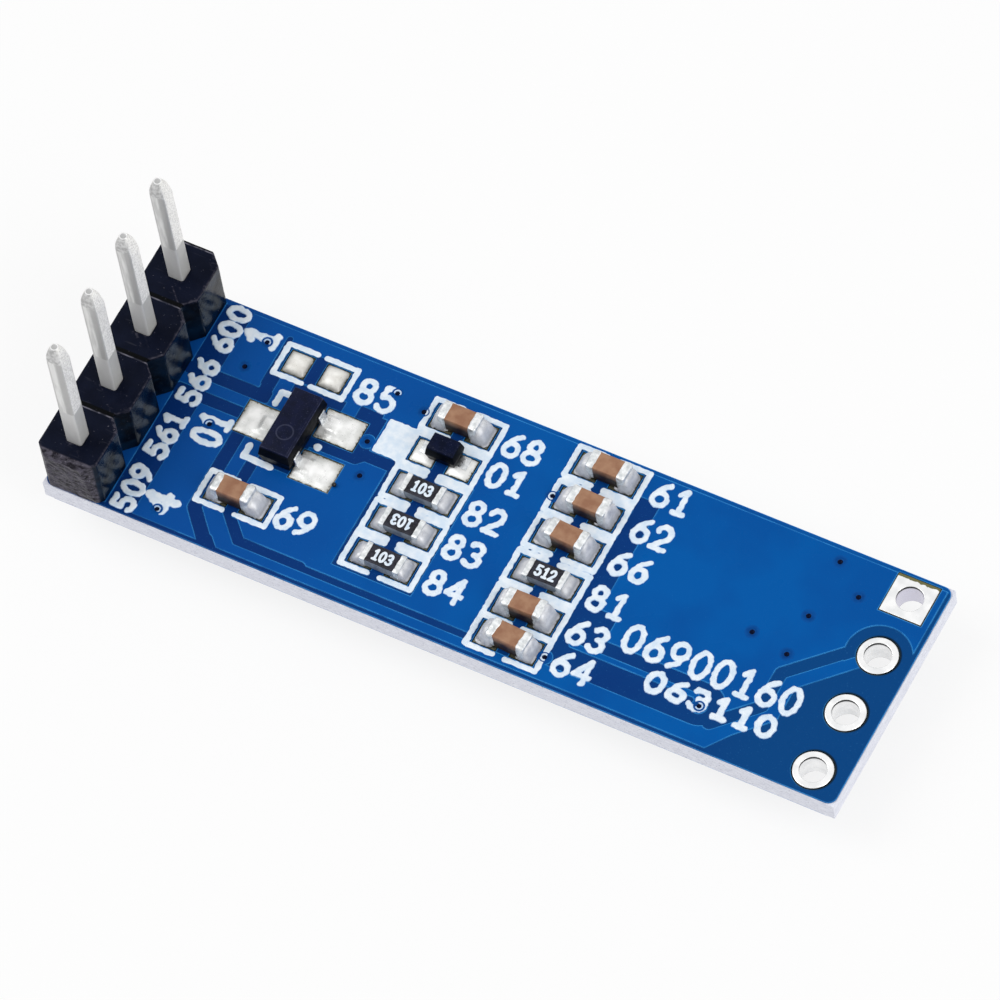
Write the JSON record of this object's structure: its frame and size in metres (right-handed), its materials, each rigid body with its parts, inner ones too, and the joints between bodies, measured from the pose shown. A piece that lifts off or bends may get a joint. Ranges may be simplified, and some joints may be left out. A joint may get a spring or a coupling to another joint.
{
  "type": "small oled display module",
  "caption": "Narrow display module: slim OLED panel taped to one side of a blue circuit board, pin header and chip parts on the other, spare plated holes at the far end",
  "frame": {"origin": "on the display's outer face, under the middle of the circuit board", "axes": "+X runs along the board from the pin header to the spare holes, +Y across the board, +Z out of the rear side, along the header's pins"},
  "size_m": [0.032, 0.0102, 0.0111],
  "materials": {
    "laminate": "glass-fibre laminate, cut edge",
    "copper_foil": "copper foil under the mask",
    "solder_mask": "blue solder mask, cured",
    "white_print": "white printed ink",
    "tin_plating": "levelled tin",
    "via_copper": "plated copper",
    "header_plastic": "moulded black nylon",
    "pin_metal": "tinned brass wire",
    "solder": "reflowed solder",
    "capacitor_ceramic": "fired ceramic, tan",
    "resistor_ceramic": "fired alumina",
    "resistor_coat": "dark glaze",
    "chip_end_tin": "matt tin",
    "transistor_resin": "moulded black epoxy",
    "diode_resin": "moulded black epoxy",
    "lead_tin": "tinned copper alloy",
    "panel_glass": "thin display glass",
    "polariser_film": "polarising film",
    "driver_silicon": "bare silicon back",
    "clear_resin": "clear sealing resin",
    "flex_film": "amber polyimide film",
    "foam_tape": "white foam tape"
  },
  "bodies": {
    "root": {"laminate_core": "laminate", "copper_rear": "copper_foil", "copper_front": "copper_foil", "mask_rear": "solder_mask", "mask_front": "solder_mask", "print_rear": "white_print", "header_plating": "tin_plating", "end_plating": "tin_plating", "vias": "via_copper", "header_housing": "header_plastic", "header_pin_1": "pin_metal", "header_pin_2": "pin_metal", "header_pin_3": "pin_metal", "header_pin_4": "pin_metal", "header_solder": "solder", "capacitor_1_body": "capacitor_ceramic", "capacitor_1_ends": "chip_end_tin", "capacitor_2_body": "capacitor_ceramic", "capacitor_2_ends": "chip_end_tin", "capacitor_3_body": "capacitor_ceramic", "capacitor_3_ends": "chip_end_tin", "capacitor_4_body": "capacitor_ceramic", "capacitor_4_ends": "chip_end_tin", "capacitor_5_body": "capacitor_ceramic", "capacitor_5_ends": "chip_end_tin", "capacitor_6_body": "capacitor_ceramic", "capacitor_6_ends": "chip_end_tin", "capacitor_7_body": "capacitor_ceramic", "capacitor_7_ends": "chip_end_tin", "resistor_1_body": "resistor_ceramic", "resistor_1_coat": "resistor_coat", "resistor_1_ends": "chip_end_tin", "resistor_2_body": "resistor_ceramic", "resistor_2_coat": "resistor_coat", "resistor_2_ends": "chip_end_tin", "resistor_3_body": "resistor_ceramic", "resistor_3_coat": "resistor_coat", "resistor_3_ends": "chip_end_tin", "resistor_4_body": "resistor_ceramic", "resistor_4_coat": "resistor_coat", "resistor_4_ends": "chip_end_tin", "transistor_body": "transistor_resin", "transistor_leads": "lead_tin", "diode_body": "diode_resin", "diode_leads": "lead_tin", "capacitor_solder": "solder", "resistor_solder": "solder", "transistor_solder": "solder", "diode_solder": "solder", "spare_land_solder": "solder", "panel_glass": "panel_glass", "panel_cover_glass": "panel_glass", "panel_polariser": "polariser_film", "driver_chip": "driver_silicon", "driver_resin": "clear_resin", "flex_tail": "flex_film", "flex_solder": "solder", "panel_tape": "foam_tape"}
  },
  "joints": []
}
